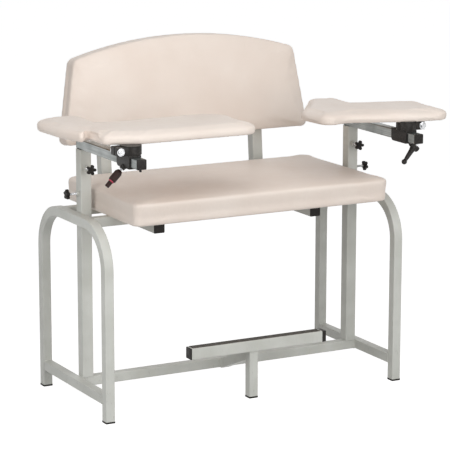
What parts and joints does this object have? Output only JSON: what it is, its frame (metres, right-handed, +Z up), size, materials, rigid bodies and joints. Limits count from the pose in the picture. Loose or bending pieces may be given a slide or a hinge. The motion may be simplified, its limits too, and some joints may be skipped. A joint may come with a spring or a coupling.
{
  "type": "phlebotomy chair",
  "caption": "Wide padded blood-draw chair on bent square-tube arches, with a footrest and arm pads that rise, slide and swivel on clamps.",
  "frame": {"origin": "on the floor, in the middle of the frame between the two side arches", "axes": "+X across the chair to the right as seen from the front, +Y to the rear, +Z up"},
  "size_m": [1.3201, 0.7737, 1.1672],
  "materials": {
    "frame_paint": "satin",
    "arm_steel": "satin",
    "bright_steel": "polished",
    "black_plastic": "matte",
    "black_rubber": "matte",
    "vinyl": "satin",
    "plywood": "matte",
    "red_ring": "gloss"
  },
  "bodies": {
    "frame": {"left_arch": "frame_paint", "right_arch": "frame_paint", "left_side_rail": "frame_paint", "right_side_rail": "frame_paint", "crossbar": "frame_paint", "left_post": "frame_paint", "right_post": "frame_paint", "front_seat_rail": "frame_paint", "rear_seat_rail": "frame_paint", "left_back_tube": "frame_paint", "right_back_tube": "frame_paint", "back_tube_caps": "black_plastic", "footrest_bar": "frame_paint", "footrest_caps": "black_plastic", "footrest_grip": "black_rubber", "footrest_strut": "frame_paint", "middle_leg": "frame_paint", "foot_tips": "black_rubber", "seat_board": "plywood", "seat_cushion": "vinyl", "seat_screws": "bright_steel", "back_board": "plywood", "back_cushion": "vinyl", "back_screws": "bright_steel", "knob_nuts": "frame_paint"},
    "left_arm": {"left_slide_post": "arm_steel", "left_arm_tube": "arm_steel", "left_arm_plug": "black_plastic", "left_arm_stop": "black_plastic", "stop_screw_left": "bright_steel"},
    "left_carriage": {"left_clamp_block": "black_plastic", "left_collar": "black_plastic", "left_collar_bolt": "bright_steel"},
    "left_pad": {"left_pad_plate": "bright_steel", "left_pad_board": "plywood", "left_pad_cushion": "vinyl"},
    "knob_left_upper": {"left_upper_knob": "black_plastic", "left_upper_screw": "bright_steel"},
    "knob_left_lower": {"left_lower_knob": "black_plastic", "left_lower_screw": "bright_steel"},
    "right_arm": {"right_slide_post": "arm_steel", "right_arm_tube": "arm_steel", "right_arm_plug": "black_plastic", "right_arm_stop": "black_plastic", "stop_screw_right": "bright_steel"},
    "right_carriage": {"right_clamp_block": "black_plastic", "right_collar": "black_plastic", "right_collar_bolt": "bright_steel"},
    "right_pad": {"right_pad_plate": "bright_steel", "right_pad_board": "plywood", "right_pad_cushion": "vinyl"},
    "knob_right_upper": {"right_upper_knob": "black_plastic", "right_upper_screw": "bright_steel"},
    "knob_right_lower": {"right_lower_knob": "black_plastic", "right_lower_screw": "bright_steel"},
    "clamp_grip": {"grip_stud": "bright_steel", "grip_handle": "black_plastic", "grip_ring": "red_ring"},
    "clamp_lever": {"lever_stud": "bright_steel", "lever_handle": "black_plastic"}
  },
  "joints": [
    {"name": "left_height", "type": "slide", "parent": "frame", "child": "left_arm", "axis": [0, 0, 1], "range_m": [0, 0.12]},
    {"name": "left_reach", "type": "slide", "parent": "left_arm", "child": "left_carriage", "axis": [0, -1, 0], "range_m": [-0.04, 0.025]},
    {"name": "left_swivel", "type": "hinge", "parent": "left_carriage", "child": "left_pad", "pos_m": [-0.5017, -0.35095, 0.89], "axis": [0, 0, 1], "range_deg": [-120, 60]},
    {"name": "left_upper_knob_turn", "type": "hinge", "parent": "frame", "child": "knob_left_upper", "pos_m": [-0.5017, -0.0585, 0.785], "axis": [0, -1, 0], "continuous": true},
    {"name": "left_lower_knob_turn", "type": "hinge", "parent": "frame", "child": "knob_left_lower", "pos_m": [-0.56025, 0, 0.701], "axis": [-1, 0, 0], "continuous": true},
    {"name": "right_height", "type": "slide", "parent": "frame", "child": "right_arm", "axis": [0, 0, 1], "range_m": [0, 0.12]},
    {"name": "right_reach", "type": "slide", "parent": "right_arm", "child": "right_carriage", "axis": [0, -1, 0], "range_m": [-0.04, 0.025]},
    {"name": "right_swivel", "type": "hinge", "parent": "right_carriage", "child": "right_pad", "pos_m": [0.5017, -0.35095, 0.89], "axis": [0, 0, 1], "range_deg": [-60, 120]},
    {"name": "right_upper_knob_turn", "type": "hinge", "parent": "frame", "child": "knob_right_upper", "pos_m": [0.5017, -0.0585, 0.785], "axis": [0, -1, 0], "continuous": true},
    {"name": "right_lower_knob_turn", "type": "hinge", "parent": "frame", "child": "knob_right_lower", "pos_m": [0.56025, 0, 0.701], "axis": [1, 0, 0], "continuous": true},
    {"name": "grip_turn", "type": "hinge", "parent": "left_carriage", "child": "clamp_grip", "pos_m": [-0.51758, -0.33695, 0.8457], "axis": [-0.7071, 0, -0.7071], "continuous": true},
    {"name": "lever_turn", "type": "hinge", "parent": "right_carriage", "child": "clamp_lever", "pos_m": [0.51758, -0.33695, 0.8457], "axis": [0.7071, 0, -0.7071], "range_deg": [-120, 120]}
  ]
}
